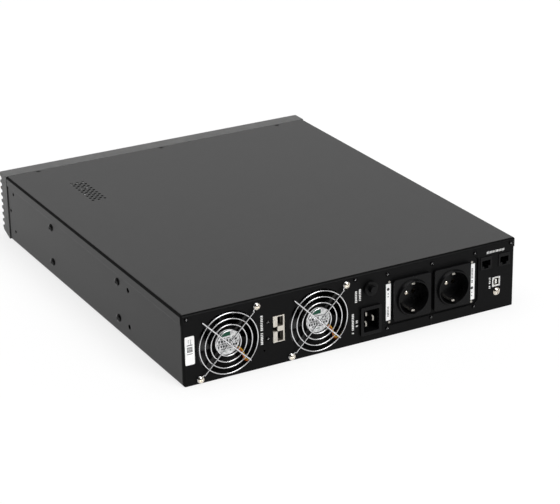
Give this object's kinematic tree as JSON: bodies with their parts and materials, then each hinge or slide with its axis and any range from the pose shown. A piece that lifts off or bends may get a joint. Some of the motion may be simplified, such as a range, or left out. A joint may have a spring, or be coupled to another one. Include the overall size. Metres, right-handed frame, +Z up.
{
  "type": "rack uninterruptible power supply",
  "caption": "Low steel rack case with ribbed bezel and a rear panel of guarded fans, earthed sockets, mains inlet, breaker, battery port and data ports.",
  "frame": {"origin": "under the middle of the object's box, on the floor it lies on", "axes": "+Y out of the rear panel, +Z up, +X to the right seen from the front"},
  "size_m": [0.441, 0.5372, 0.086],
  "materials": {
    "case_paint": "satin powder coat",
    "lid_paint": "satin powder coat",
    "rear_paint": "satin black powder coat",
    "zinc_steel": "zinc plated",
    "bezel_plastic": "fine texture",
    "black_plastic": "moulded",
    "fan_plastic": "moulded",
    "guard_wire": "bright nickel",
    "nickel": "nickel plated",
    "black_screw": "black oxide",
    "contact_brass": "bright",
    "port_plastic": "moulded",
    "usb_white": "moulded",
    "paper": "paper label",
    "label_foil": "foil label",
    "lead_insulation": "insulation",
    "copper": "enamelled winding",
    "window": "tinted clear",
    "lcd": "display",
    "board": "solder mask",
    "key_plastic": "moulded",
    "battery_plastic": "moulded",
    "lead_tin": "tinned",
    "sink_alloy": "extruded",
    "can_sleeve": "sleeve",
    "core": "varnished",
    "standoff_brass": "turned"
  },
  "bodies": {
    "case": {"bottom_tray": "case_paint", "rear_panel": "rear_paint", "top_cover": "lid_paint", "front_panel": "zinc_steel", "front_bezel": "bezel_plastic", "wall_plates": "zinc_steel", "fan_frame_1": "fan_plastic", "fan_frame_2": "fan_plastic", "fan_stators": "copper", "fan_labels": "label_foil", "fan_leads": "lead_insulation", "fan_guard_1": "guard_wire", "fan_guard_2": "guard_wire", "guard_screws": "nickel", "socket_plate": "rear_paint", "plate_rivets": "nickel", "socket_1": "black_plastic", "socket_2": "black_plastic", "socket_contacts": "contact_brass", "earth_clips": "nickel", "socket_screws": "nickel", "inlet_body": "black_plastic", "inlet_blades": "nickel", "breaker_body": "black_plastic", "breaker_collar": "black_plastic", "battery_port": "port_plastic", "port_contacts": "lead_tin", "jack_1": "black_plastic", "jack_2": "black_plastic", "jack_contacts": "contact_brass", "usb_shell": "nickel", "usb_insert": "usb_white", "earth_screw": "nickel", "panel_screws": "black_screw", "lid_screws": "black_screw", "side_screws": "black_screw", "stickers": "paper", "display_window": "window", "display_module": "lcd", "display_board": "board", "battery_blocks": "battery_plastic", "battery_terminals": "lead_tin", "battery_straps": "zinc_steel", "main_board": "board", "charger_board": "board", "filter_board": "board", "interface_board": "board", "heat_sinks": "sink_alloy", "bus_capacitors": "can_sleeve", "chokes": "copper", "transformer": "core", "relays": "can_sleeve", "standoffs": "standoff_brass"},
    "outer_rotor": {"fan_rotor_1": "fan_plastic"},
    "inner_rotor": {"fan_rotor_2": "fan_plastic"},
    "reset_button": {"breaker_button": "black_plastic"},
    "power_key": {"key_1": "key_plastic"},
    "select_key": {"key_2": "key_plastic"},
    "enter_key": {"key_3": "key_plastic"}
  },
  "joints": [
    {"name": "outer_fan_spin", "type": "hinge", "parent": "case", "child": "outer_rotor", "pos_m": [0.16232, 0.24505, 0.0411], "axis": [0, 1, 0], "continuous": true},
    {"name": "inner_fan_spin", "type": "hinge", "parent": "case", "child": "inner_rotor", "pos_m": [0.0477, 0.24505, 0.0411], "axis": [0, 1, 0], "continuous": true},
    {"name": "breaker_reset", "type": "slide", "parent": "case", "child": "reset_button", "axis": [0, 1, 0], "range_m": [0, 0.0035]},
    {"name": "power_press", "type": "slide", "parent": "case", "child": "power_key", "axis": [0, 1, 0], "range_m": [0, 0.0012], "stiffness_N_per_m": 800},
    {"name": "select_press", "type": "slide", "parent": "case", "child": "select_key", "axis": [0, 1, 0], "range_m": [0, 0.0012], "stiffness_N_per_m": 800},
    {"name": "enter_press", "type": "slide", "parent": "case", "child": "enter_key", "axis": [0, 1, 0], "range_m": [0, 0.0012], "stiffness_N_per_m": 800}
  ]
}
